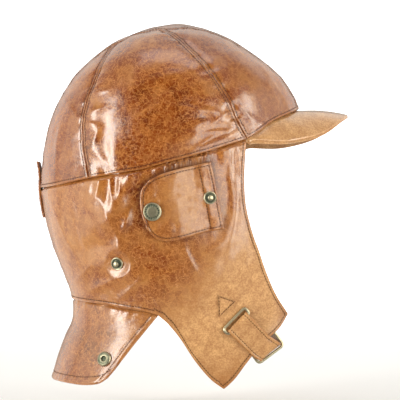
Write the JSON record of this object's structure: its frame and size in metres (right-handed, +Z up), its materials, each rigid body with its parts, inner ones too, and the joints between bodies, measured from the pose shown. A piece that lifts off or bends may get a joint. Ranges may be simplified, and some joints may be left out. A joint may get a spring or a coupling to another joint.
{
  "type": "leather motoring helmet",
  "caption": "Leather motoring helmet with a panelled crown, short peak, snap-down ear covers, fold-up neck flap and a chin strap fastened through wire rings.",
  "frame": {"origin": "inside of the crown at its top, where the helmet sits on the head", "axes": "+X towards the face, +Y towards the wearer's left, +Z up"},
  "size_m": [0.2715, 0.1894, 0.312],
  "materials": {
    "tan_leather": "aged, waxed gloss",
    "brown_leather": "aged, waxed gloss",
    "peak_leather": "satin",
    "strap_leather": "satin",
    "aged_brass": "antique, rubbed bright on the rims"
  },
  "bodies": {
    "root": {"crown_strip": "tan_leather", "crown_front_right": "tan_leather", "crown_front_left": "tan_leather", "crown_side_right": "brown_leather", "crown_side_left": "brown_leather", "crown_back_right": "tan_leather", "crown_back_left": "tan_leather", "side_panel_right": "tan_leather", "side_panel_left": "tan_leather", "neck_flap": "tan_leather", "peak": "peak_leather", "ear_cover_right": "tan_leather", "ear_cover_left": "tan_leather", "snap_cap_right": "aged_brass", "snap_cap_left": "aged_brass", "snap_stud_front_right": "aged_brass", "snap_stud_front_left": "aged_brass", "snap_stud_back_right": "aged_brass", "snap_stud_back_left": "aged_brass", "snap_socket_right": "aged_brass", "snap_socket_left": "aged_brass", "patch_triangle_right": "brown_leather", "patch_triangle_left": "brown_leather", "goggle_tab": "brown_leather", "chin_strap": "strap_leather", "ring_upper": "aged_brass", "ring_lower": "aged_brass", "ring_tab": "strap_leather"}
  },
  "joints": []
}
